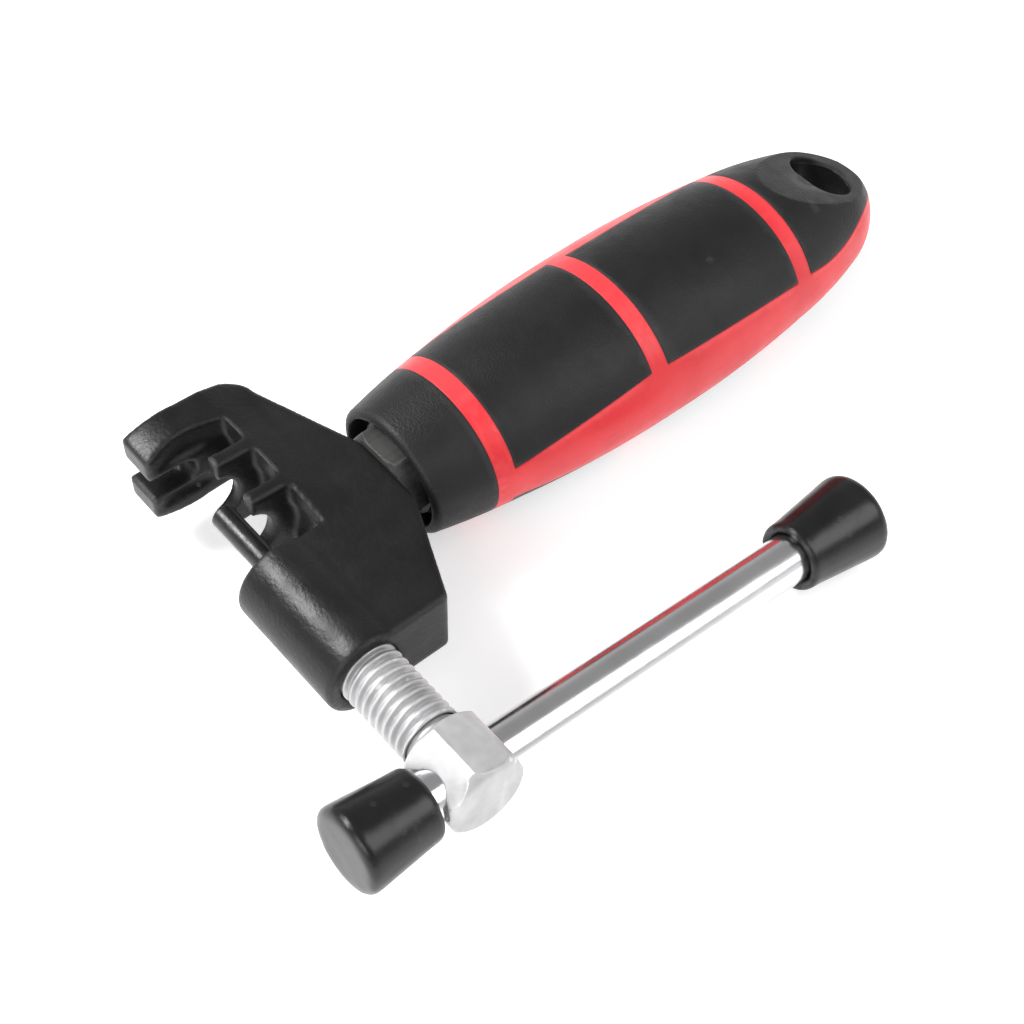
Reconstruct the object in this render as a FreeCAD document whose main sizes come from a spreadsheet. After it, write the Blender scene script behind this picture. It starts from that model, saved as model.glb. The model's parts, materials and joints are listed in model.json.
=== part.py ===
"""Bicycle chain tool: cast body with a toothed chain cradle, forcing screw with a sliding T-bar, and a
two-material handle screwed on at a right angle.

Frame: +Z up. The screw's axis is the X axis, and the tool presses towards -X. The origin is on that
axis, in the middle of the main cradle wall, where the centre of the chain's roller comes to lie.
The handle runs along +Y.
"""

import FreeCAD, Part
import math
import os
import Sketcher

V = FreeCAD.Vector

# Driving dimensions in millimetres (angles in degrees): alias, value, meaning.
DIMENSIONS = [
    # cast body, plan view
    ("boss_end", 39.8, "x of the screw boss's open end face"),
    ("boss_start", 17.9, "x of the boss's face towards the chain"),
    ("front_corner", 14.0, "y of the body's corner at the boss's end face"),
    ("shoulder_x", 30.6, "x of the first shoulder corner"),
    ("shoulder_y", 18.1, "y of the first shoulder corner"),
    ("seat_end_x", 22.9, "x where the nut's seat ends, screw side"),
    ("seat_start_x", 9.4, "x where the nut's seat ends, jaw side"),
    ("seat_y", 21.6, "y of the nut's seat"),
    ("lobe_x", -8.8, "x of the lobe's corner"),
    ("lobe_y", 15.3, "y of the lobe's corner"),
    ("anvil_back", -13.4, "x of the anvil's back face"),
    ("anvil_back_y", 10.2, "y where the anvil's back face meets the lobe"),
    ("anvil_front", -6.4, "x of the anvil's face towards the chain"),
    ("prong_end", -5.8, "y of the anvil prongs' free ends"),
    # cast body, sections
    ("web_half", 6.2, "half thickness of the boss side of the body"),
    ("barrel_radius", 7.35, "outer radius of the screw boss"),
    ("crease_y", 13.5, "y of the crease where the jaw starts to thicken"),
    ("jaw_half_floor", 7.5, "half thickness of the jaw above the slots' floors"),
    ("jaw_half_tip", 7.9, "half thickness of the jaw above the tooth tips"),
    ("prong_half", 6.4, "half thickness of the jaw at the prongs' free ends"),
    # chain cradle
    ("wall_one_start", -1.25, "x of the main wall's face towards the anvil"),
    ("wall_one_end", 1.25, "x of the main wall's face towards the screw"),
    ("wall_two_start", 7.55, "x of the second wall's face towards the anvil"),
    ("wall_two_end", 10.1, "x of the second wall's face towards the screw"),
    ("slot_floor", 8.1, "y of the slots' floors"),
    ("tooth_tip", 1.5, "y of the tooth tips"),
    ("notch_radius", 4.6, "radius of the roller notch in both walls"),
    ("notch_y", 0.3, "y of the roller notch's centre"),
    ("relief_radius", 9.0, "radius of the shallow relief in the slots' floors"),
    ("fork_radius", 2.3, "half width of the pin slot between the anvil's prongs"),
    ("plate_seat_depth", 1.1, "depth of the curved link-plate seat in the anvil's face"),
    ("plate_seat_low", 3.3, "z where the upper link-plate seat starts"),
    ("plate_seat_inner", 2.9, "distance below the axis where the lower seat starts"),
    ("plate_seat_outer", 5.0, "distance below the axis where the lower seat ends"),
    # forcing screw
    ("bore_radius", 5.0, "radius of the boss's bore at the thread's crests"),
    ("thread_radius", 4.95, "outer radius of the M10 x 1.5 thread"),
    ("screw_start", 30.9, "x of the screw's hidden end"),
    ("thread_end", 53.3, "x where the thread runs out"),
    ("neck_radius", 4.3, "radius of the relief neck under the head"),
    ("head_start", 54.9, "x of the head's shoulder"),
    ("head_end", 65.8, "x of the head's outer end"),
    ("head_flat", 12.6, "width across the head's flats"),
    ("head_round", 6.95, "radius that the head's corners are turned to"),
    ("bar_x", 60.5, "x of the T-bar's axis"),
    ("cross_hole_radius", 4.0, "radius of the head's cross hole"),
    ("cross_hole_sink", 1.1, "size of the chamfer at the cross hole's mouths"),
    ("pocket_radius", 3.3, "radius of the pocket for the pin's head"),
    ("pocket_end", 40.6, "x of the pocket's floor"),
    # drive pin
    ("pin_radius", 1.95, "radius of the drive pin"),
    ("pin_tip", 3.4, "x of the drive pin's tip"),
    ("pin_head_start", 32.8, "x where the pin's head starts"),
    ("pin_head_end", 34.8, "x where the pin's head ends"),
    ("pin_head_radius", 3.22, "radius of the pin's head"),
    ("ball_radius", 2.85, "radius of the thrust ball"),
    ("retainer_start", 31.2, "x where the retaining ring starts"),
    ("retainer_end", 32.7, "x where the retaining ring ends"),
    ("retainer_bore", 2.03, "bore radius of the retaining ring"),
    # T-bar
    ("bar_radius", 3.95, "radius of the T-bar"),
    ("bar_near_end", -19.0, "y of the T-bar's near end"),
    ("bar_far_end", 77.2, "y of the T-bar's far end"),
    ("cap_near_end", -20.4, "y of the near cap's closed end"),
    ("cap_far_end", 78.7, "y of the far cap's closed end"),
    ("near_cap_length", 13.0, "length of the near cap"),
    ("near_cap_radius", 6.7, "radius of the near cap at its closed end"),
    ("far_cap_length", 15.4, "length of the far cap"),
    ("far_cap_radius", 7.2, "radius of the far cap at its closed end"),
    ("cap_mouth_radius", 5.7, "radius of a cap at its mouth"),
    ("cap_edge", 1.0, "rounding of a cap's closed end"),
    ("bar_tilt", 5.5, "angle that the screw is turned to, so that the T-bar's far end hangs lower"),
    # handle joint
    ("handle_x", 13.1, "x of the handle's axis"),
    ("nut_length", 4.1, "height of the jam nut"),
    ("nut_flat", 14.3, "width across the nut's flats"),
    ("nut_round", 7.95, "radius that the nut's corners are turned to"),
    ("washer_radius", 8.0, "outer radius of the washer"),
    ("washer_length", 1.3, "thickness of the washer"),
    ("stud_radius", 4.0, "radius of the M8 stud"),
    ("stud_start", 9.8, "y of the stud's end inside the body"),
    ("stud_end", 46.0, "y of the stud's end inside the handle"),
    ("insert_radius", 6.4, "outer radius of the threaded insert"),
    ("insert_end", 48.0, "y of the threaded insert's end"),
    # handle: an oval bar. Radii are half its thickness, and its width is wider by one ratio
    ("width_ratio", 1.177, "width of the handle over its thickness"),
    ("handle_start", 24.1, "y of the handle's front rim"),
    ("recess_y", 27.0, "y of the floor of the front recess round the nut"),
    ("recess_radius", 8.7, "radius of the front recess at its rim"),
    ("front_radius", 10.1, "radius of the handle's front end"),
    ("front_edge", 1.1, "rounding of the front rim"),
    ("neck_y", 33.0, "y of the middle of the front taper"),
    ("neck_middle_radius", 11.45, "radius there"),
    ("waist_y", 40.0, "y where the belly starts"),
    ("waist_radius", 12.3, "radius there"),
    ("swell_y", 55.0, "y of a point on the swell"),
    ("swell_radius", 13.75, "radius there"),
    ("belly_y", 70.0, "y of the belly"),
    ("belly_radius", 14.25, "radius of the belly"),
    ("fall_y", 85.0, "y of a point behind the belly"),
    ("fall_radius", 14.05, "radius there"),
    ("taper_y", 100.0, "y of the tip's start"),
    ("taper_radius", 12.88, "radius there"),
    ("shoulder_two_y", 108.5, "y of a point on the tip's shoulder"),
    ("shoulder_two_radius", 11.8, "radius there"),
    ("round_y", 116.0, "y where the tip's round end starts"),
    ("round_radius", 10.1, "radius there"),
    ("nose_y", 121.0, "y of a point on the round end"),
    ("nose_radius", 7.8, "radius there"),
    ("end_y", 124.3, "y of the next point on the round end"),
    ("end_radius", 5.1, "radius there"),
    ("tip_y", 126.5, "y of the handle's tip"),
    ("tip_radius", 1.2, "radius of the small flat at the tip"),
    ("slope_start", 103.0, "y where the tip's slopes start"),
    ("slope_start_half", 12.6, "half thickness there"),
    ("slope_middle_half", 7.3, "half thickness at the hang hole"),
    ("slope_end_half", 3.6, "half thickness just past the tip"),
    ("skin", 2.0, "thickness of the soft skin"),
    ("band_one", 34.3, "y of the first red band's front edge"),
    ("band_two", 64.3, "y of the second red band's front edge"),
    ("band_three", 97.3, "y of the third red band's front edge"),
    ("band_width", 3.2, "width of a red band"),
    ("hole_y", 116.8, "y of the hang hole"),
    ("hole_radius", 4.0, "radius of the hang hole's ends before widening"),
    ("hole_offset", 1.1, "distance of those ends' centres from the handle's axis before widening"),
]


def make_sheet(doc):
    """The spreadsheet of driving dimensions."""
    sheet = doc.addObject("Spreadsheet::Sheet", "dims")
    for row, (alias, value, meaning) in enumerate(DIMENSIONS, start=1):
        sheet.set(f"A{row}", meaning)
        sheet.set(f"B{row}", str(value))
        sheet.setAlias(f"B{row}", alias)
    doc.recompute()
    return sheet


class Size:
    """A length that knows its number and the sheet expression that gives it."""

    def __init__(self, number, text):
        self.number = number
        self.text = text

    def joined(self, sign, other, number):
        text = other.text if isinstance(other, Size) else str(other)
        return Size(number, f"({self.text} {sign} {text})")

    def __add__(self, other):
        return self.joined("+", other, self.number + plain(other))

    def __sub__(self, other):
        return self.joined("-", other, self.number - plain(other))

    def __mul__(self, other):
        return self.joined("*", other, self.number * plain(other))

    def __truediv__(self, other):
        return self.joined("/", other, self.number / plain(other))

    def __neg__(self):
        return Size(-self.number, f"(0 - {self.text})")


def plain(value):
    """The number of a Size or of a plain number."""
    return value.number if isinstance(value, Size) else float(value)


def bind(thing, prop, value):
    """Bind a property or a named constraint to the sheet."""
    if isinstance(value, Size):
        thing.setExpression(prop, value.text)


D = {alias: Size(value, f"dims.{alias}") for alias, value, _ in DIMENSIONS}
FAR = 70.0  # reach of a cut that runs past everything
HEAD_TURN = 52.0  # angle of the head's first corner, from the T-bar's direction
RIM_FALL = 0.3  # how far edges that are turned down fall back along their axis


# ---- sketches and features --------------------------------------------------------------------


def make_body(doc, name):
    body = doc.addObject("PartDesign::Body", name)
    body.Label = name
    return body


def tilt(body):
    """Turn a body about the screw's axis to the angle that the T-bar stands at."""
    body.Placement = FreeCAD.Placement(V(0, 0, 0), FreeCAD.Rotation(V(-1, 0, 0), plain(D["bar_tilt"])))
    bind(body, "Placement.Rotation.Angle", D["bar_tilt"])
    return body


def make_sketch(body, name, role, shift_x=None, shift_z=None):
    """A sketch on one of the body's own origin planes, moved within (x) or along the normal (z)."""
    sketch = body.newObject("Sketcher::SketchObject", name)
    plane = next(item for item in body.Origin.OriginFeatures if item.Role == role)
    sketch.AttachmentSupport = [(plane, "")]
    sketch.MapMode = "FlatFace"
    base = V(plain(shift_x or 0), 0, plain(shift_z or 0))
    sketch.AttachmentOffset = FreeCAD.Placement(base, FreeCAD.Rotation())
    bind(sketch, "AttachmentOffset.Base.x", shift_x)
    bind(sketch, "AttachmentOffset.Base.z", shift_z)
    return sketch


def fix_point(sketch, geometry, corner, point):
    """Hold one point of a sketch at sheet-driven distances from the sketch's origin."""
    for kind, size in zip(("DistanceX", "DistanceY"), point):
        number = plain(size)
        index = sketch.addConstraint(Sketcher.Constraint(kind, -1, 1, geometry, corner, number))
        if isinstance(size, Size):
            name = f"{kind}_{geometry}_{corner}"
            sketch.renameConstraint(index, name)
            sketch.setExpression(f"Constraints.{name}", size.text)


def flat(point):
    return V(plain(point[0]), plain(point[1]), 0)


def outline(sketch, start, steps):
    """A closed outline. A step is an end point, or (point on the arc, end point) for an arc."""
    here = start
    last = steps[-1][1] if isinstance(steps[-1][0], tuple) else steps[-1]
    closing = [] if (flat(last) - flat(start)).Length < 1e-9 else [start]
    for step in steps + closing:
        arc = isinstance(step[0], tuple)
        end = step[1] if arc else step
        if arc:
            index = sketch.addGeometry(Part.Arc(flat(here), flat(step[0]), flat(end)))
            turned = (sketch.getPoint(index, 1) - flat(here)).Length > 1e-6
            fix_point(sketch, index, 2 if turned else 1, here)
            fix_point(sketch, index, 1 if turned else 2, end)
            via = sketch.addGeometry(Part.Point(flat(step[0])), True)
            fix_point(sketch, via, 1, step[0])
            sketch.addConstraint(Sketcher.Constraint("PointOnObject", via, 1, index))
        else:
            index = sketch.addGeometry(Part.LineSegment(flat(here), flat(end)))
            fix_point(sketch, index, 1, here)
            fix_point(sketch, index, 2, end)
        here = end


def box_outline(sketch, low, high):
    outline(sketch, low, [(high[0], low[1]), high, (low[0], high[1])])


def circle(sketch, centre, radius):
    index = sketch.addGeometry(Part.Circle(flat(centre), V(0, 0, 1), plain(radius)))
    fix_point(sketch, index, 3, centre)
    constraint = sketch.addConstraint(Sketcher.Constraint("Radius", index, plain(radius)))
    if isinstance(radius, Size):
        name = f"radius_{index}"
        sketch.renameConstraint(constraint, name)
        sketch.setExpression(f"Constraints.{name}", radius.text)


def hexagon(sketch, across_flats, first_corner):
    """A hexagon about the sketch's origin. first_corner is a corner's angle in degrees."""
    corner_radius = across_flats / (2 * math.cos(math.radians(30)))
    corners = []
    for turn in range(6):
        angle = math.radians(first_corner + 60 * turn)
        corners.append((corner_radius * math.cos(angle), corner_radius * math.sin(angle)))
    outline(sketch, corners[0], corners[1:])


def extrude(body, kind, sketch, length, symmetric=False):
    """A Pad or Pocket of a sketch."""
    feature = body.newObject(f"PartDesign::{kind}", f"{sketch.Name}_{kind.lower()}")
    feature.Profile = sketch
    feature.SideType = "Symmetric" if symmetric else "One side"
    feature.Length = plain(length)
    bind(feature, "Length", length)
    return feature


def cut_through(body, sketch):
    """A Pocket that runs past the body on both sides of its sketch."""
    return extrude(body, "Pocket", sketch, 2 * FAR, symmetric=True)


def turn(body, sketch, axis, kind="Revolution"):
    """A full Revolution or Groove about one of the sketch's own axes."""
    feature = body.newObject(f"PartDesign::{kind}", f"{sketch.Name}_{kind.lower()}")
    feature.Profile = sketch
    feature.ReferenceAxis = (sketch, [axis])
    feature.Angle = 360.0
    return feature


# ---- cast body ---------------------------------------------------------------------------------


def plan_outline(sketch, inner_end):
    """The body's plan outline, from the anvil to x = inner_end, without the barrel."""
    after_slots = [
        (D["anvil_front"], D["prong_end"]),
        (D["anvil_front"], D["tooth_tip"]),
        (inner_end, D["tooth_tip"]),
    ]
    if inner_end is D["boss_start"]:
        far_side = [
            (inner_end, D["seat_y"]),
            (D["seat_start_x"], D["seat_y"]),
        ]
    else:
        far_side = [
            (inner_end, D["front_corner"]),
            (D["shoulder_x"], D["shoulder_y"]),
            (D["seat_end_x"], D["seat_y"]),
            (D["seat_start_x"], D["seat_y"]),
        ]
    bulge = 1.4
    corner = (D["lobe_x"] / 2 + D["anvil_back"] / 2 - bulge, D["lobe_y"] / 2 + D["anvil_back_y"] / 2 + bulge / 2)
    lobe = [
        (D["lobe_x"], D["lobe_y"]),
        (corner, (D["anvil_back"], D["anvil_back_y"])),
    ]
    outline(sketch, (D["anvil_back"], D["prong_end"]), after_slots + far_side + lobe)


def make_jaw_top(body):
    """Cut the jaw's top and bottom to their slopes, and ramp them down to the boss."""
    sections = make_sketch(body, "jaw_sections", "YZ_Plane")
    ramps = make_sketch(body, "jaw_ramps", "XZ_Plane")
    for up in (1, -1):
        start = (-FAR, D["prong_half"] * up)
        steps = [
            (D["prong_end"], D["prong_half"] * up),
            ((D["tooth_tip"] / 2 + D["prong_end"] / 2, (D["jaw_half_tip"] - 0.35) * up),
             (D["tooth_tip"], D["jaw_half_tip"] * up)),
            (D["slot_floor"], D["jaw_half_floor"] * up),
            (D["crease_y"], D["web_half"] * up),
            (FAR, D["web_half"] * up),
            (FAR, FAR * up),
            (-FAR, FAR * up),
        ]
        outline(sections, start, steps)
        ramp_start = (D["wall_two_end"], D["jaw_half_floor"] * up)
        ramp_steps = [
            (D["wall_two_end"], FAR * up),
            (D["boss_start"], FAR * up),
            (D["boss_start"], D["web_half"] * up),
        ]
        outline(ramps, ramp_start, ramp_steps)
    cut_through(body, sections)
    cut_through(body, ramps)


def make_cradle(body):
    """Cut the chain slots, their reliefs, the roller notch and the anvil's fork."""
    slots = [
        ("slot_one", D["anvil_front"], D["wall_one_start"]),
        ("slot_two", D["wall_one_end"], D["wall_two_start"]),
        ("slot_three", D["wall_two_end"], D["boss_start"]),
    ]
    for name, start, end in slots:
        slot = make_sketch(body, name, "XY_Plane")
        box_outline(slot, (start, -FAR), (end, D["slot_floor"]))
        cut_through(body, slot)
        relief = make_sketch(body, f"{name}_relief", "YZ_Plane", shift_z=start)
        circle(relief, (0, 0), D["relief_radius"])
        pocket = extrude(body, "Pocket", relief, end - start)
        pocket.Reversed = True
    notch = make_sketch(body, "roller_notch", "YZ_Plane", shift_z=D["wall_one_start"] - 1)
    circle(notch, (D["notch_y"], 0), D["notch_radius"])
    extrude(body, "Pocket", notch, D["wall_two_end"] - D["wall_one_start"] + 2).Reversed = True


def make_anvil(body):
    """Cut the slot that the pushed pin leaves through, and the curved seats of the link plate."""
    fork = make_sketch(body, "fork", "YZ_Plane", shift_z=D["anvil_front"] + 1)
    half = D["fork_radius"]
    outline(fork, (-FAR, -half), [(0, -half), ((half, 0), (0, half)), (-FAR, half)])
    extrude(body, "Pocket", fork, D["anvil_front"] - D["anvil_back"] + 2)
    middle = D["slot_floor"] / 2 + D["prong_end"] / 2
    deep = D["anvil_front"] - D["plate_seat_depth"]
    seats = [
        ("upper_seat", D["plate_seat_low"], FAR, D["slot_floor"] - 0.4),
        ("lower_seat", -D["plate_seat_outer"], -D["plate_seat_inner"], D["slot_floor"] - 3.0),
    ]
    for name, low, high, end in seats:
        seat = make_sketch(body, name, "XY_Plane", shift_z=low)
        start = (D["anvil_front"] + 1, D["prong_end"] + 0.8)
        steps = [
            (D["anvil_front"], D["prong_end"] + 0.8),
            ((deep, middle), (D["anvil_front"], end)),
            (D["anvil_front"] + 1, end),
        ]
        outline(seat, start, steps)
        length = high - low if isinstance(high, Size) else FAR
        extrude(body, "Pocket", seat, length).Reversed = True


def make_casting(doc):
    body = make_body(doc, "body_casting")
    jaw = make_sketch(body, "jaw_plan", "XY_Plane")
    plan_outline(jaw, D["boss_start"])
    extrude(body, "Pad", jaw, D["jaw_half_tip"] * 2 + 1, symmetric=True)
    make_jaw_top(body)
    web = make_sketch(body, "web_plan", "XY_Plane")
    plan_outline(web, D["boss_end"])
    extrude(body, "Pad", web, D["web_half"] * 2, symmetric=True)
    barrel = make_sketch(body, "barrel", "YZ_Plane", shift_z=D["boss_start"])
    circle(barrel, (0, 0), D["barrel_radius"])
    extrude(body, "Pad", barrel, D["boss_end"] - D["boss_start"])
    make_cradle(body)
    make_anvil(body)
    bore = make_sketch(body, "bore", "YZ_Plane", shift_z=D["boss_start"] - 1)
    circle(bore, (0, 0), D["bore_radius"])
    extrude(body, "Pocket", bore, D["boss_end"] - D["boss_start"] + 2).Reversed = True
    tapping = make_sketch(body, "tapping", "XZ_Plane", shift_z=-D["seat_y"])
    circle(tapping, (D["handle_x"], 0), D["stud_radius"])
    extrude(body, "Pocket", tapping, D["seat_y"] - D["stud_start"]).Reversed = True
    return body


# ---- forcing screw, pin and T-bar --------------------------------------------------------------


def make_screw(doc):
    """The forcing screw: plain at the thread's outer size, with a cross-drilled hexagonal head."""
    body = make_body(doc, "spindle_screw")
    shank = make_sketch(body, "shank_profile", "XY_Plane")
    lead = 0.8
    steps = [
        (D["screw_start"], D["thread_radius"] - lead),
        (D["screw_start"] + lead, D["thread_radius"]),
        (D["thread_end"], D["thread_radius"]),
        (D["thread_end"], D["neck_radius"]),
        (D["head_start"] + 1, D["neck_radius"]),
        (D["head_start"] + 1, 0),
        (D["pocket_end"], 0),
        (D["pocket_end"], D["pocket_radius"]),
    ]
    outline(shank, (D["screw_start"], D["pocket_radius"]), steps)
    turn(body, shank, "H_Axis")
    head = make_sketch(body, "head_hexagon", "YZ_Plane", shift_z=D["head_start"])
    hexagon(head, D["head_flat"], HEAD_TURN)
    extrude(body, "Pad", head, D["head_end"] - D["head_start"])
    rounding = make_sketch(body, "head_rounding", "XY_Plane")
    edge = 1.6
    outline(
        rounding,
        (D["head_start"], D["head_round"] - edge / 2),
        [
            (D["head_start"] + edge / 2, D["head_round"]),
            (D["head_end"] - edge, D["head_round"]),
            ((D["head_end"] - 0.45 * edge, D["head_round"] - 0.3 * edge),
             (D["head_end"], D["head_round"] - edge)),
            (D["head_end"], FAR),
            (D["head_start"], FAR),
        ],
    )
    turn(body, rounding, "H_Axis", "Groove")
    cross = make_sketch(body, "cross_hole", "XZ_Plane")
    circle(cross, (D["bar_x"], 0), D["cross_hole_radius"])
    cut_through(body, cross)
    for side in (1, -1):
        sink = make_sketch(body, f"sink_{'far' if side > 0 else 'near'}", "XY_Plane", shift_x=D["bar_x"])
        outside = (D["head_round"] + 1) * side
        depth = D["cross_hole_sink"] + 1
        outline(
            sink,
            (0, outside),
            [(D["cross_hole_radius"] + depth, outside),
             (D["cross_hole_radius"], outside - depth * side),
             (0, outside - depth * side)],
        )
        turn(body, sink, "V_Axis", "Groove")
    return tilt(body)


def make_pin(doc):
    body = make_body(doc, "drive_pin")
    profile = make_sketch(body, "pin_profile", "XY_Plane")
    tip_edge = 0.35
    steps = [
        (D["pin_tip"], D["pin_radius"] - tip_edge),
        (D["pin_tip"] + tip_edge, D["pin_radius"]),
        (D["pin_head_start"], D["pin_radius"]),
        (D["pin_head_start"], D["pin_head_radius"]),
        (D["pin_head_end"], D["pin_head_radius"]),
        (D["pin_head_end"], 0),
    ]
    outline(profile, (D["pin_tip"], 0), steps)
    turn(body, profile, "H_Axis")
    return body


def make_ball(doc):
    ball = doc.addObject("Part::Sphere", "thrust_ball")
    ball.Label = "thrust_ball"
    bind(ball, "Radius", D["ball_radius"])
    bind(ball, "Placement.Base.x", D["pin_head_end"] + D["ball_radius"] + 0.02)
    return ball


def make_ring(doc, name, role, along, length, outer, inner, shift_x=0):
    """A plain ring along the normal of one of its origin planes."""
    body = make_body(doc, name)
    sketch = make_sketch(body, f"{name}_section", role, shift_z=along)
    circle(sketch, (shift_x, 0), outer)
    circle(sketch, (shift_x, 0), inner)
    extrude(body, "Pad", sketch, length)
    return body


def make_bar(doc):
    body = make_body(doc, "t_bar")
    profile = make_sketch(body, "bar_profile", "XY_Plane", shift_x=D["bar_x"])
    edge = 0.6
    steps = [
        (D["bar_radius"] - edge, D["bar_near_end"]),
        (D["bar_radius"], D["bar_near_end"] + edge),
        (D["bar_radius"], D["bar_far_end"] - edge),
        (D["bar_radius"] - edge, D["bar_far_end"]),
        (0, D["bar_far_end"]),
    ]
    outline(profile, (0, D["bar_near_end"]), steps)
    turn(body, profile, "V_Axis")
    return tilt(body)


def make_cap(doc, name, closed_end, bar_end, side, length, radius):
    """A tapered end cap. side is the way its mouth faces along Y."""
    body = make_body(doc, name)
    profile = make_sketch(body, f"{name}_profile", "XY_Plane", shift_x=D["bar_x"])
    mouth = closed_end + length * side
    lip = 0.9
    rounded = D["cap_edge"]
    steps = [
        (radius - rounded, closed_end),
        ((radius - rounded * RIM_FALL, closed_end + rounded * RIM_FALL * side),
         (radius, closed_end + rounded * side)),
        (D["cap_mouth_radius"], mouth - 2 * lip * side),
        (D["cap_mouth_radius"], mouth - lip / 2 * side),
        (D["cap_mouth_radius"] - lip / 2, mouth),
        (D["bar_radius"] + lip, mouth),
        (D["bar_radius"], mouth - lip * side),
        (D["bar_radius"], bar_end),
        (0, bar_end),
    ]
    outline(profile, (0, closed_end), steps)
    turn(body, profile, "V_Axis")
    return tilt(body)


# ---- handle joint --------------------------------------------------------------------------------


def make_stud(doc):
    body = make_body(doc, "tang_stud")
    profile = make_sketch(body, "stud_profile", "XY_Plane", shift_x=D["handle_x"])
    edge = 0.7
    steps = [
        (D["stud_radius"] - edge, D["stud_start"]),
        (D["stud_radius"], D["stud_start"] + edge),
        (D["stud_radius"], D["stud_end"] - edge),
        (D["stud_radius"] - edge, D["stud_end"]),
        (0, D["stud_end"]),
    ]
    outline(profile, (0, D["stud_start"]), steps)
    turn(body, profile, "V_Axis")
    return body


def make_nut(doc):
    """The jam nut, its corners turned down at both ends."""
    body = make_body(doc, "jam_nut")
    section = make_sketch(body, "nut_hexagon", "XZ_Plane", shift_x=D["handle_x"], shift_z=-D["seat_y"])
    hexagon(section, D["nut_flat"], 0)
    circle(section, (0, 0), D["stud_radius"])
    extrude(body, "Pad", section, D["nut_length"]).Reversed = True
    rounding = make_sketch(body, "nut_rounding", "XY_Plane", shift_x=D["handle_x"])
    start = D["seat_y"]
    end = D["seat_y"] + D["nut_length"]
    drop = 0.7
    steps = [
        (D["nut_round"] + 1, start + drop + 0.5),
        (D["nut_round"] + 1, end - drop - 0.5),
        (D["nut_round"] - drop, end),
        (FAR, end),
        (FAR, start),
    ]
    outline(rounding, (D["nut_round"] - drop, start), steps)
    turn(body, rounding, "V_Axis", "Groove")
    return body


# ---- handle ----------------------------------------------------------------------------------------


def handle_profile(sketch, recess, inset, front_shift=0.0):
    """Half of the handle's long section, its axis at the sketch's origin: (half thickness, y)."""
    start = D["handle_start"] + front_shift
    edge = D["front_edge"]
    floor = D["recess_y"] + front_shift

    def point(place):
        return (D[f"{place}_radius"] - inset, D[f"{place}_y"])

    if recess:
        first = (0, floor)
        steps = [(D["recess_radius"] - edge / 2, floor), (D["recess_radius"], start)]
    else:
        first = (0, start)
        steps = []
    front = D["front_radius"] - inset
    steps += [
        (front - edge, start),
        ((front - edge * RIM_FALL, start + edge * RIM_FALL), (front, start + edge)),
        ((D["neck_middle_radius"] - inset, D["neck_y"]), point("waist")),
        (point("swell"), point("belly")),
        (point("fall"), point("taper")),
        (point("shoulder_two"), point("round")),
        (point("nose"), (D["end_radius"] - inset / 2, D["end_y"] - inset / 2)),
        (D["tip_radius"], D["tip_y"] - inset),
        (0, D["tip_y"] - inset),
    ]
    outline(sketch, first, steps)


def cut_tip(body, name):
    """The dished slopes of the tip, and the hang hole through them."""
    slopes = make_sketch(body, f"{name}_slopes", "YZ_Plane")
    past_tip = D["tip_y"] + 1
    for up in (1, -1):
        steps = [
            ((D["hole_y"], D["slope_middle_half"] * up), (past_tip, D["slope_end_half"] * up)),
            (past_tip, FAR * up),
            (D["slope_start"], FAR * up),
        ]
        outline(slopes, (D["slope_start"], D["slope_start_half"] * up), steps)
    cut_through(body, slopes)
    hole = make_sketch(body, f"{name}_hang_hole", "XY_Plane")
    near_y = D["hole_y"] - D["hole_radius"]
    far_y = D["hole_y"] + D["hole_radius"]
    reach = D["hole_offset"] + D["hole_radius"]
    steps = [
        (D["hole_offset"], near_y),
        ((reach, D["hole_y"]), (D["hole_offset"], far_y)),
        (-D["hole_offset"], far_y),
        ((-reach, D["hole_y"]), (-D["hole_offset"], near_y)),
    ]
    outline(hole, (-D["hole_offset"], near_y), steps)
    cut_through(body, hole)


def widen(doc, item, label):
    """The handle's oval form: a round one stretched along X, and moved to the handle's axis."""
    wide = doc.addObject("Part::Scale", f"{item.Name}_wide")
    wide.Base = item
    wide.Uniform = False
    wide.XScale = plain(D["width_ratio"])
    wide.YScale = 1.0
    wide.ZScale = 1.0
    bind(wide, "XScale", D["width_ratio"])
    wide.Placement = FreeCAD.Placement(V(plain(D["handle_x"]), 0, 0), FreeCAD.Rotation())
    bind(wide, "Placement.Base.x", D["handle_x"])
    wide.Label = label
    return wide


# Where each soft panel ends towards the red side rails, before widening: the half widths at its
# front, middle and rear, on the +X side and then on the -X side.
PANEL_EDGES = {
    "front": ((11.5, 12.3, 12.4), (10.4, 9.3, 8.9)),
    "rear": ((12.5, 12.65, 12.1), (8.3, 8.5, 9.7)),
    "tip": ((11.8, 9.3, 1.0), (10.0, 8.6, 1.0)),
}


def make_shell(doc, place, start, end, up):
    """A soft skin panel above (up = 1) or below (up = -1) the parting plane, not yet widened."""
    name = f"panel_{place}_{'top' if up > 0 else 'under'}"
    body = make_body(doc, name)
    outer = make_sketch(body, f"{name}_form", "XY_Plane")
    handle_profile(outer, False, 0)
    turn(body, outer, "V_Axis")
    inner = make_sketch(body, f"{name}_inside", "XY_Plane")
    handle_profile(inner, False, D["skin"])
    turn(body, inner, "V_Axis", "Groove")
    cut_tip(body, name)
    trim = make_sketch(body, f"{name}_trim", "XY_Plane")
    box_outline(trim, (-FAR, -FAR), (FAR, 3 * FAR))
    right, left = PANEL_EDGES[place]
    middle = start / 2 + end / 2
    steps = [
        ((right[1], middle), (right[2], end)),
        (-left[2], end),
        ((-left[1], middle), (-left[0], start)),
    ]
    outline(trim, (right[0], start), steps)
    cut_through(body, trim)
    half = make_sketch(body, f"{name}_half", "XY_Plane")
    box_outline(half, (-FAR, -FAR), (FAR, 3 * FAR))
    extrude(body, "Pocket", half, FAR).Reversed = up < 0
    return body


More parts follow.
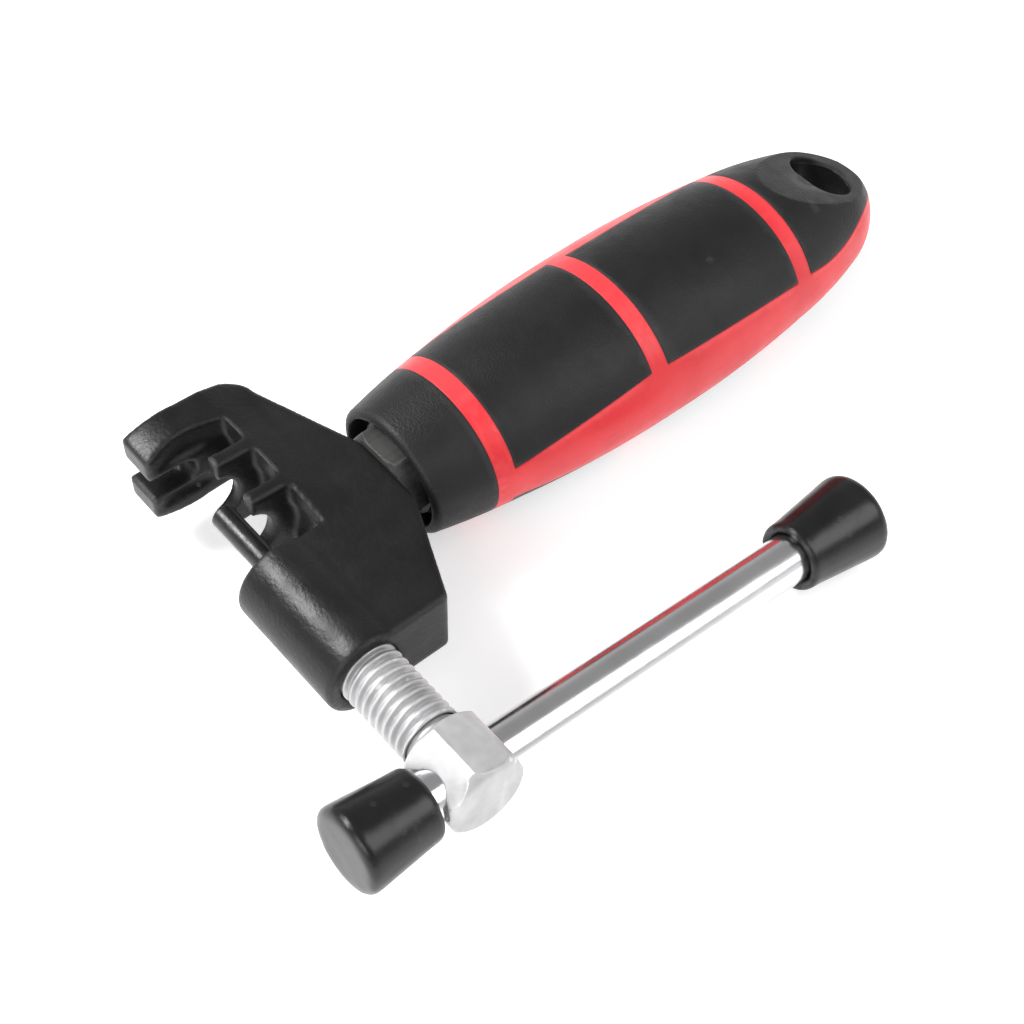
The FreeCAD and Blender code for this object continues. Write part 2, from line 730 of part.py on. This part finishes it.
def make_panels(doc):
    """The six soft panels, not yet widened: front, rear and tip, on the top and underneath."""
    band = D["band_width"]
    layout = [
        ("front", D["band_one"] + band, D["band_two"]),
        ("rear", D["band_two"] + band, D["band_three"]),
        ("tip", D["band_three"] + band, D["tip_y"] + 2),
    ]
    panels = {}
    for place, start, end in layout:
        for side, up in (("top", 1), ("under", -1)):
            panels[f"grip_panel_{place}_{side}"] = make_shell(doc, place, start, end, up)
    return panels


def make_collar(doc):
    """The soft collar round the handle's front, up to the first red band, not yet widened."""
    body = make_body(doc, "collar")
    outer = make_sketch(body, "collar_form", "XY_Plane")
    handle_profile(outer, True, 0)
    turn(body, outer, "V_Axis")
    inner = make_sketch(body, "collar_inside", "XY_Plane")
    box_outline(inner, (0, D["recess_y"] - 1), (D["recess_radius"] - D["front_edge"] / 2, D["band_one"] + 1))
    turn(body, inner, "V_Axis", "Groove")
    trim = make_sketch(body, "collar_trim", "XY_Plane")
    box_outline(trim, (-FAR, D["band_one"]), (FAR, 3 * FAR))
    cut_through(body, trim)
    return body


def make_core(doc, soft_parts):
    """The red core: the handle's whole form less the soft parts, widened, less the insert's socket."""
    form = make_body(doc, "handle_form")
    profile = make_sketch(form, "core_form", "XY_Plane")
    handle_profile(profile, True, 0)
    turn(form, profile, "V_Axis")
    cut_tip(form, "core")
    core = form
    for index, soft in enumerate(soft_parts):
        cut = doc.addObject("Part::Cut", f"core_step_{index}")
        cut.Base = core
        cut.Tool = soft
        core = cut
    wide = widen(doc, core, "core_widened")
    socket = doc.addObject("Part::Cylinder", "insert_socket")
    bind(socket, "Radius", D["insert_radius"])
    bind(socket, "Height", D["insert_end"] - D["recess_y"] + 2)
    socket.Placement = FreeCAD.Placement(V(0, 0, 0), FreeCAD.Rotation(V(1, 0, 0), -90))
    bind(socket, "Placement.Base.x", D["handle_x"])
    bind(socket, "Placement.Base.y", D["recess_y"] - 2)
    final = doc.addObject("Part::Cut", "core_final")
    final.Base = wide
    final.Tool = socket
    final.Label = "handle_core"
    return final


# ---- whole tool --------------------------------------------------------------------------------------


def make_tool(doc):
    """Build every sub-part and return them."""
    make_sheet(doc)
    nut_end = D["seat_y"] + D["nut_length"]
    parts = [
        make_casting(doc),
        make_screw(doc),
        make_pin(doc),
        make_ball(doc),
        make_ring(doc, "pin_retainer", "YZ_Plane", D["retainer_start"],
                  D["retainer_end"] - D["retainer_start"], D["pocket_radius"], D["retainer_bore"]),
        make_bar(doc),
        make_cap(doc, "t_bar_cap_near", D["cap_near_end"], D["bar_near_end"], 1,
                 D["near_cap_length"], D["near_cap_radius"]),
        make_cap(doc, "t_bar_cap_far", D["cap_far_end"], D["bar_far_end"], -1,
                 D["far_cap_length"], D["far_cap_radius"]),
        make_stud(doc),
        make_nut(doc),
        make_ring(doc, "tang_washer", "XZ_Plane", -nut_end - D["washer_length"], D["washer_length"],
                  D["washer_radius"], D["stud_radius"], D["handle_x"]),
        make_ring(doc, "handle_insert", "XZ_Plane", -D["insert_end"], D["insert_end"] - D["recess_y"],
                  D["insert_radius"], D["stud_radius"], D["handle_x"]),
    ]
    collar = make_collar(doc)
    panels = make_panels(doc)
    soft_parts = [widen(doc, collar, "grip_collar")]
    soft_parts += [widen(doc, body, label) for label, body in panels.items()]
    return parts + soft_parts + [make_core(doc, [collar] + list(panels.values()))]


def check(doc, parts):
    """Stop if any object failed, or if a sub-part isn't one valid solid."""
    for item in doc.Objects:
        if "Invalid" in item.State or "Error" in item.State:
            raise RuntimeError(f"{item.Name} failed: {item.State}")
    for part in parts:
        shape = part.Shape
        if shape.isNull() or not shape.isValid() or len(shape.Solids) != 1:
            raise RuntimeError(f"{part.Label} is not one valid solid")


def main():
    doc = FreeCAD.newDocument("chain_tool")
    parts = make_tool(doc)
    doc.recompute()
    check(doc, parts)
    os.makedirs("parts", exist_ok=True)
    for part in parts:
        part.Shape.exportStep(f"parts/{part.Label}.step")
        print(part.Label, round(part.Shape.Volume, 1))


main()
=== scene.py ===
import json
import math

import bmesh
import bpy
from mathutils import Matrix, Vector


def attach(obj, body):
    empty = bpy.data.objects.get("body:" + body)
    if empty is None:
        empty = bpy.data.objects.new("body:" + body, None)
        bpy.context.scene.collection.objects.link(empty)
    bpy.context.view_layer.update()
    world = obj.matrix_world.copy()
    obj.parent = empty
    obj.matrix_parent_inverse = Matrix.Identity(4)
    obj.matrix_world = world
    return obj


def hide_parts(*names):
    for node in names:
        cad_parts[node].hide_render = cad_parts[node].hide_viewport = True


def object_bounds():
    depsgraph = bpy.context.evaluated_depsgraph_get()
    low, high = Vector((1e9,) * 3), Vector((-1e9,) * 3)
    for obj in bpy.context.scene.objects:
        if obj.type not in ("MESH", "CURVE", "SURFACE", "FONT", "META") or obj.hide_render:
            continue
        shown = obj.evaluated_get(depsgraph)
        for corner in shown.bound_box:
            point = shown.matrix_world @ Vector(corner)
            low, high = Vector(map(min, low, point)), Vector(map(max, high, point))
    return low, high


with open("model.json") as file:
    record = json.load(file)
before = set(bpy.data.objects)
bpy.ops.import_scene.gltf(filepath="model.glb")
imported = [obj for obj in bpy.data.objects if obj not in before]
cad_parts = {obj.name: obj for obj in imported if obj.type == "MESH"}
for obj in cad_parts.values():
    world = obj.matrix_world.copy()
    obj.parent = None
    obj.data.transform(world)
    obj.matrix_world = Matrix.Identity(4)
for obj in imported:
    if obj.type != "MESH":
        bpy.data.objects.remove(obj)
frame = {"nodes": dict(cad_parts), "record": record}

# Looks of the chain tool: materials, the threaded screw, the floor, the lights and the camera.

MM = 0.001
start_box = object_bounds()

# ---- the screw, in millimetres, as the CAD part gives it ----
PITCH = 1.5
THREAD_DEPTH = 0.78
THREAD_START = 30.9
THREAD_END = 53.3
CREST_RADIUS = 4.95
POCKET_RADIUS = 3.3
ANGLE_STEPS = 96
LENGTH_STEP = 0.09
ROOT_HALF = 0.08  # half width of the root, as a part of the pitch
FLANK = 0.34  # width of one flank, as a part of the pitch
FADE_IN = 1.0  # length over which the thread starts
FADE_OUT = 0.8  # length over which it runs out
END_DROP = 0.35  # how far the ends stand under the crests
SKIN_MARGIN = 0.3  # the shank's outer skin lies at least this far outside the pocket

# ---- the hang hole in the handle, in millimetres: its middle, and its half sizes with its lining ----
HOLE_AT = (13.1, 116.8)
HOLE_HALF = (6.9, 4.9)
RECESS_SHADE_END = 29.0  # y where the recess at the handle's front, painted dark as shade, is over

# ---- node helpers ----


def add(tree, kind, **values):
    """A node with its properties and input values set."""
    node = tree.nodes.new(kind)
    for name, value in values.items():
        if name in node.inputs:
            node.inputs[name].default_value = value
        else:
            setattr(node, name, value)
    return node


def join(tree, out, into):
    tree.links.new(out, into)


def noise(tree, scale, detail=3.0, rough=0.55, stretch=(1.0, 1.0, 1.0)):
    """Noise in object space; scale is in cycles per metre."""
    place = add(tree, "ShaderNodeTexCoord")
    mapping = add(tree, "ShaderNodeMapping")
    mapping.inputs["Scale"].default_value = stretch
    join(tree, place.outputs["Object"], mapping.inputs["Vector"])
    texture = add(tree, "ShaderNodeTexNoise")
    texture.inputs["Scale"].default_value = scale
    texture.inputs["Detail"].default_value = detail
    texture.inputs["Roughness"].default_value = rough
    join(tree, mapping.outputs["Vector"], texture.inputs["Vector"])
    return texture.outputs["Fac"]


def span(tree, value, low, high, from_low=0.3, from_high=0.7):
    """A value moved from one range to another."""
    node = add(tree, "ShaderNodeMapRange")
    node.inputs["From Min"].default_value = from_low
    node.inputs["From Max"].default_value = from_high
    node.inputs["To Min"].default_value = low
    node.inputs["To Max"].default_value = high
    join(tree, value, node.inputs["Value"])
    return node.outputs["Result"]


def blend_colours(tree, factor, first, second):
    """Mix two colours by a factor; either colour may be a constant or a socket."""
    node = add(tree, "ShaderNodeMix", data_type="RGBA")
    join(tree, factor, node.inputs[0])
    for socket, colour in ((node.inputs[6], first), (node.inputs[7], second)):
        if isinstance(colour, tuple):
            socket.default_value = colour + (1.0,)
        else:
            join(tree, colour, socket)
    return node.outputs[2]


def surface(name, tones, rough, metal=0.0, grain=(), soften=0.35, edge_glint_and_wear=None, coat=0.0, shine=0.5):
    """A finished material.

    tones: (dark colour, light colour, cycles per metre) of the broad colour variation.
    rough: (least, most) roughness. grain: (cycles per metre, height in metres, stretch) per layer.
    soften: radius in millimetres that edges look rounded to. edge_glint_and_wear: (colour, amount) on
    raised edges, a painted highlight with a little worn paint.
    shine: how strongly the surface mirrors light, 0.5 being a common plastic or paint.
    """
    material = bpy.data.materials.new(name)
    material.use_nodes = True
    tree = material.node_tree
    shader = tree.nodes["Principled BSDF"]
    shader.inputs["Metallic"].default_value = metal
    shader.inputs["Specular IOR Level"].default_value = shine
    broad = noise(tree, tones[2], 4.0)
    colour = blend_colours(tree, span(tree, broad, 0.0, 1.0), tones[0], tones[1])
    # painted highlight: raised edges are lightened to stand in for edge glints, with a little worn
    # paint
    if edge_glint_and_wear:
        geometry = add(tree, "ShaderNodeNewGeometry")
        edge = span(tree, geometry.outputs["Pointiness"], 0.0, edge_glint_and_wear[1], 0.52, 0.58)
        colour = blend_colours(tree, edge, colour, edge_glint_and_wear[0])
    join(tree, colour, shader.inputs["Base Color"])
    patches = noise(tree, tones[2] * 2.7, 3.0)
    join(tree, span(tree, patches, rough[0], rough[1]), shader.inputs["Roughness"])
    if coat:
        shader.inputs["Coat Weight"].default_value = coat
        shader.inputs["Coat Roughness"].default_value = 0.12
    bevel = add(tree, "ShaderNodeBevel", samples=4)
    bevel.inputs["Radius"].default_value = soften * MM
    normal = bevel.outputs["Normal"]
    for cycles, height, stretch in grain:
        bump = add(tree, "ShaderNodeBump")
        bump.inputs["Strength"].default_value = 1.0
        bump.inputs["Distance"].default_value = height
        join(tree, noise(tree, cycles, 2.0, 0.5, stretch), bump.inputs["Height"])
        join(tree, normal, bump.inputs["Normal"])
        normal = bump.outputs["Normal"]
    join(tree, normal, shader.inputs["Normal"])
    return material


EVEN = (1.0, 1.0, 1.0)
# the edge colour given to a finish is lightened onto its raised edges as a painted highlight
MATERIALS = {
    "casting_paint": surface(
        "casting_paint", ((0.0055, 0.0055, 0.006), (0.011, 0.011, 0.0115), 90), (0.3, 0.42),
        grain=((1500, 0.00005, EVEN), (380, 0.00005, EVEN)), soften=1.0,
        edge_glint_and_wear=((0.08, 0.08, 0.08), 0.8), shine=0.28),
    "zinc_plate": surface(
        "zinc_plate", ((0.44, 0.44, 0.445), (0.56, 0.56, 0.565), 260), (0.42, 0.54), metal=0.7,
        grain=((900, 0.00001, EVEN), (4000, 0.000004, EVEN)), soften=0.3,
        edge_glint_and_wear=((0.85, 0.85, 0.86), 0.6)),
    "black_oxide": surface(
        "black_oxide", ((0.006, 0.006, 0.006), (0.014, 0.014, 0.0138), 420), (0.25, 0.42),
        grain=((1600, 0.00003, EVEN), (5200, 0.00001, EVEN)), soften=0.3,
        edge_glint_and_wear=((0.07, 0.07, 0.068), 0.7), shine=0.4),
    "bright_steel": surface(
        "bright_steel", ((0.5, 0.5, 0.51), (0.64, 0.64, 0.65), 300), (0.22, 0.34), metal=1.0,
        grain=((2500, 0.000005, EVEN),), soften=0.2),
    "bar_chrome": surface(
        "bar_chrome", ((0.72, 0.72, 0.73), (0.8, 0.8, 0.81), 120), (0.17, 0.22), metal=1.0,
        grain=((700, 0.0000015, (1.0, 0.08, 1.0)),), soften=0.3),
    "cap_vinyl": surface(
        "cap_vinyl", ((0.005, 0.005, 0.0055), (0.01, 0.01, 0.0105), 150), (0.2, 0.28),
        grain=((1800, 0.000012, EVEN), (210, 0.00004, EVEN)), soften=1.0,
        edge_glint_and_wear=((0.03, 0.03, 0.03), 0.4), shine=0.36),
    "insert_brass": surface(
        "insert_brass", ((0.62, 0.44, 0.17), (0.74, 0.56, 0.26), 300), (0.25, 0.38), metal=1.0,
        grain=((2200, 0.000006, EVEN),), soften=0.2),
    "core_red": surface(
        "core_red", ((0.6, 0.018, 0.025), (0.7, 0.03, 0.038), 120), (0.34, 0.44),
        grain=((2600, 0.000014, EVEN), (300, 0.00003, EVEN)), soften=0.3,
        edge_glint_and_wear=((0.85, 0.09, 0.1), 0.4), shine=0.4),
    "grip_black": surface(
        "grip_black", ((0.006, 0.006, 0.0063), (0.011, 0.011, 0.0115), 110), (0.42, 0.52),
        grain=((3200, 0.00008, EVEN), (260, 0.00004, EVEN)), soften=0.9,
        edge_glint_and_wear=((0.04, 0.04, 0.04), 0.4), shine=0.3),
}


def darken_hole_lining_and_recess_shade():
    """The hang hole's wall is black, being its lining; the recess round the nut is painted black as
    painted shade: the red stops short of both.
    """
    tree = MATERIALS["core_red"].node_tree
    shader = tree.nodes["Principled BSDF"]
    red = shader.inputs["Base Color"].links[0].from_socket
    place = add(tree, "ShaderNodeTexCoord")
    across = add(tree, "ShaderNodeMapping")
    half_x, half_y = HOLE_HALF
    across.inputs["Location"].default_value = (-HOLE_AT[0] / half_x, -HOLE_AT[1] / half_y, 0.0)
    across.inputs["Scale"].default_value = (1 / (half_x * MM), 1 / (half_y * MM), 0.0)
    length = add(tree, "ShaderNodeVectorMath", operation="LENGTH")
    join(tree, place.outputs["Object"], across.inputs["Vector"])
    join(tree, across.outputs["Vector"], length.inputs[0])
    outside = span(tree, length.outputs["Value"], 0.0, 1.0, 1.0, 1.03)
    split = add(tree, "ShaderNodeSeparateXYZ")
    join(tree, place.outputs["Object"], split.inputs["Vector"])
    # painted shade: the red core turns black at the front, where the recess lies in shade
    recess_shade_mask = span(tree, split.outputs["Y"], 0.0, 1.0, (RECESS_SHADE_END - 0.2) * MM, RECESS_SHADE_END * MM)
    both = add(tree, "ShaderNodeMath", operation="MULTIPLY")
    join(tree, outside, both.inputs[0])
    join(tree, recess_shade_mask, both.inputs[1])
    # black for the hang hole's lining, and painted shade in the front recess
    colour = blend_colours(tree, both.outputs["Value"], (0.007, 0.007, 0.0075), red)
    join(tree, colour, shader.inputs["Base Color"])


darken_hole_lining_and_recess_shade()


def dress(thing, slot_name):
    thing.data.materials.clear()
    thing.data.materials.append(MATERIALS[slot_name])


slots = {item["node"]: item["material_slot"] for item in frame["record"]["subparts"]}
for node_name, node in frame["nodes"].items():
    dress(node, slots[node_name])


def relax(node_name, voxel, rounds):
    """Re-skin a piece finely and relax it, so that its moulded edges come out round."""
    piece = frame["nodes"][node_name]
    skin = piece.modifiers.new("skin", "REMESH")
    skin.mode = "VOXEL"
    skin.voxel_size = voxel * MM
    skin.use_smooth_shade = True
    soft = piece.modifiers.new("soft", "SMOOTH")
    soft.factor = 0.5
    soft.iterations = rounds


relax("body_casting", 0.3, 18)
relax("t_bar_cap_near", 0.35, 26)
relax("t_bar_cap_far", 0.35, 20)


# ---- the threaded screw ----


def thread_radius(x, turned):
    """Radius of the thread's surface at x millimetres, at an angle given in turns."""
    phase = (x / PITCH - turned) % 1.0
    ridge = min(1.0, max(0.0, (abs(phase - 0.5) - ROOT_HALF) / FLANK))
    ridge = ridge * ridge * (3 - 2 * ridge)
    fade = max(0.0, min(1.0, (x - THREAD_START) / FADE_IN, (THREAD_END - x) / FADE_OUT))
    return CREST_RADIUS - THREAD_DEPTH * (1 - ridge) * fade - END_DROP * (1 - fade)


def make_thread():
    """The threaded shank as one closed skin, from its hidden end to the relief neck."""
    count = int((THREAD_END - THREAD_START) / LENGTH_STEP)
    verts = []
    faces = []
    for i in range(count + 1):
        x = THREAD_START + (THREAD_END - THREAD_START) * i / count
        for j in range(ANGLE_STEPS):
            angle = 2 * math.pi * j / ANGLE_STEPS
            radius = thread_radius(x, j / ANGLE_STEPS)
            verts.append((x * MM, radius * math.cos(angle) * MM, radius * math.sin(angle) * MM))
    for i in range(count):
        for j in range(ANGLE_STEPS):
            k = (j + 1) % ANGLE_STEPS
            a = i * ANGLE_STEPS
            b = a + ANGLE_STEPS
            faces.append((a + j, a + k, b + k, b + j))
    for i, inner in ((0, POCKET_RADIUS), (count, 0.0)):
        base = i * ANGLE_STEPS
        x = verts[base][0]
        first = len(verts)
        if inner:
            for j in range(ANGLE_STEPS):
                angle = 2 * math.pi * j / ANGLE_STEPS
                verts.append((x, inner * math.cos(angle) * MM, inner * math.sin(angle) * MM))
            for j in range(ANGLE_STEPS):
                k = (j + 1) % ANGLE_STEPS
                faces.append((base + j, first + j, first + k, base + k))
        else:
            faces.append(tuple(base + j for j in range(ANGLE_STEPS)))
    mesh = bpy.data.meshes.new("screw_thread")
    mesh.from_pydata(verts, [], faces)
    mesh.validate()
    for polygon in mesh.polygons:
        polygon.use_smooth = True
    thing = bpy.data.objects.new("screw_thread", mesh)
    bpy.context.collection.objects.link(thing)
    dress(thing, "zinc_plate")
    return thing


def make_head():
    """The screw without its shank's outer skin: the neck, the head and the pin's pocket."""
    source = frame["nodes"]["spindle_screw"].data
    work = bmesh.new()
    work.from_mesh(source)
    limit = (THREAD_END - 0.02) * MM
    shank = []
    for face in work.faces:
        inside = all(v.co.x < (THREAD_END + 0.01) * MM for v in face.verts)
        outer = all(math.hypot(v.co.y, v.co.z) > (POCKET_RADIUS + SKIN_MARGIN) * MM for v in face.verts)
        if inside and outer and min(v.co.x for v in face.verts) < limit:
            shank.append(face)
    bmesh.ops.delete(work, geom=shank, context="FACES")
    mesh = bpy.data.meshes.new("screw_head")
    work.to_mesh(mesh)
    work.free()
    thing = bpy.data.objects.new("screw_head", mesh)
    bpy.context.collection.objects.link(thing)
    dress(thing, "zinc_plate")
    return thing


thread = make_thread()
head = make_head()
for piece in (thread, head):
    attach(piece, "spindle")
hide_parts("spindle_screw")

# ---- floor, lights and camera ----

low, high = start_box
floor_z = min(low[2], high[2])


def make_floor():
    """A wide pale floor, gently curving up at its far sides."""
    size = 1.6
    steps = 48
    flat_radius = 0.9
    rise = 0.4
    verts = []
    for i in range(steps + 1):
        for j in range(steps + 1):
            x = size * (2 * i / steps - 1)
            y = size * (2 * j / steps - 1)
            out = max(0.0, math.hypot(x, y) - flat_radius)
            verts.append((x, y, floor_z + rise * out * out))
    faces = []
    for i in range(steps):
        for j in range(steps):
            a = i * (steps + 1) + j
            faces.append((a, a + steps + 1, a + steps + 2, a + 1))
    mesh = bpy.data.meshes.new("floor")
    mesh.from_pydata(verts, [], faces)
    for polygon in mesh.polygons:
        polygon.use_smooth = True
    thing = bpy.data.objects.new("floor", mesh)
    bpy.context.collection.objects.link(thing)
    material = bpy.data.materials.new("floor_white")
    material.use_nodes = True
    tree = material.node_tree
    shader = tree.nodes["Principled BSDF"]
    shader.inputs["Roughness"].default_value = 0.7
    shader.inputs["Specular IOR Level"].default_value = 0.2
    patches = span(tree, noise(tree, 6), 0.0, 1.0)
    tone = blend_colours(tree, patches, (0.86, 0.86, 0.865), (0.89, 0.89, 0.89))
    join(tree, tone, shader.inputs["Base Color"])
    join(tree, tone, shader.inputs["Emission Color"])
    shader.inputs["Emission Strength"].default_value = 0.5
    mesh.materials.append(material)
    return thing


make_floor()

world = bpy.data.worlds.new("studio")
bpy.context.scene.world = world
world.use_nodes = True
world_tree = world.node_tree
background = world_tree.nodes["Background"]
direction = add(world_tree, "ShaderNodeTexCoord")
split = add(world_tree, "ShaderNodeSeparateXYZ")
join(world_tree, direction.outputs["Generated"], split.inputs["Vector"])
height = span(world_tree, split.outputs["Z"], 0.0, 1.0, 0.05, 0.6)
sky = blend_colours(world_tree, height, (0.9, 0.9, 0.9), (0.4, 0.4, 0.402))
join(world_tree, sky, background.inputs["Color"])
background.inputs["Strength"].default_value = 0.8

CENTRE = Vector((0.03, 0.045, 0.0))


def soft_light(name, place, size, power):
    """A soft box that faces the tool."""
    lamp = bpy.data.lights.new(name, "AREA")
    lamp.shape = "RECTANGLE"
    lamp.size = size[0]
    lamp.size_y = size[1]
    lamp.energy = power
    thing = bpy.data.objects.new(name, lamp)
    bpy.context.collection.objects.link(thing)
    thing.location = Vector(place)
    thing.rotation_euler = (CENTRE - thing.location).to_track_quat("-Z", "Y").to_euler()
    return thing


soft_light("key", (-0.35, -0.25, 0.55), (0.3, 0.2), 6.0)
soft_light("fill", (0.45, 0.35, 0.5), (0.35, 0.5), 2.0)
soft_light("front", (0.25, -0.5, 0.35), (0.4, 0.25), 2.0)

AZIMUTH = math.radians(48.416)
ELEVATION = math.radians(52.255)
ROLL = math.radians(1.634)
DISTANCE = 0.26998
TARGET = Vector((0.0306, 0.03363, 0.0))
LENS = 63.455

view = Vector((
    -math.sin(AZIMUTH) * math.cos(ELEVATION),
    math.cos(AZIMUTH) * math.cos(ELEVATION),
    -math.sin(ELEVATION),
))
level = Vector((math.cos(AZIMUTH), math.sin(AZIMUTH), 0.0))
upward = level.cross(view)
right = level * math.cos(ROLL) + upward * math.sin(ROLL)
top = upward * math.cos(ROLL) - level * math.sin(ROLL)
camera_data = bpy.data.cameras.new("photo_angle")
camera_data.sensor_width = 36.0
camera_data.lens = LENS
camera_data.clip_start = 0.01
camera = bpy.data.objects.new("photo_angle", camera_data)
bpy.context.collection.objects.link(camera)
axes = Matrix((right, top, -view)).transposed().to_4x4()
camera.matrix_world = Matrix.Translation(TARGET - view * DISTANCE) @ axes
bpy.context.scene.camera = camera
bpy.context.scene.view_settings.view_transform = "Standard"
bpy.context.scene.view_settings.look = "None"
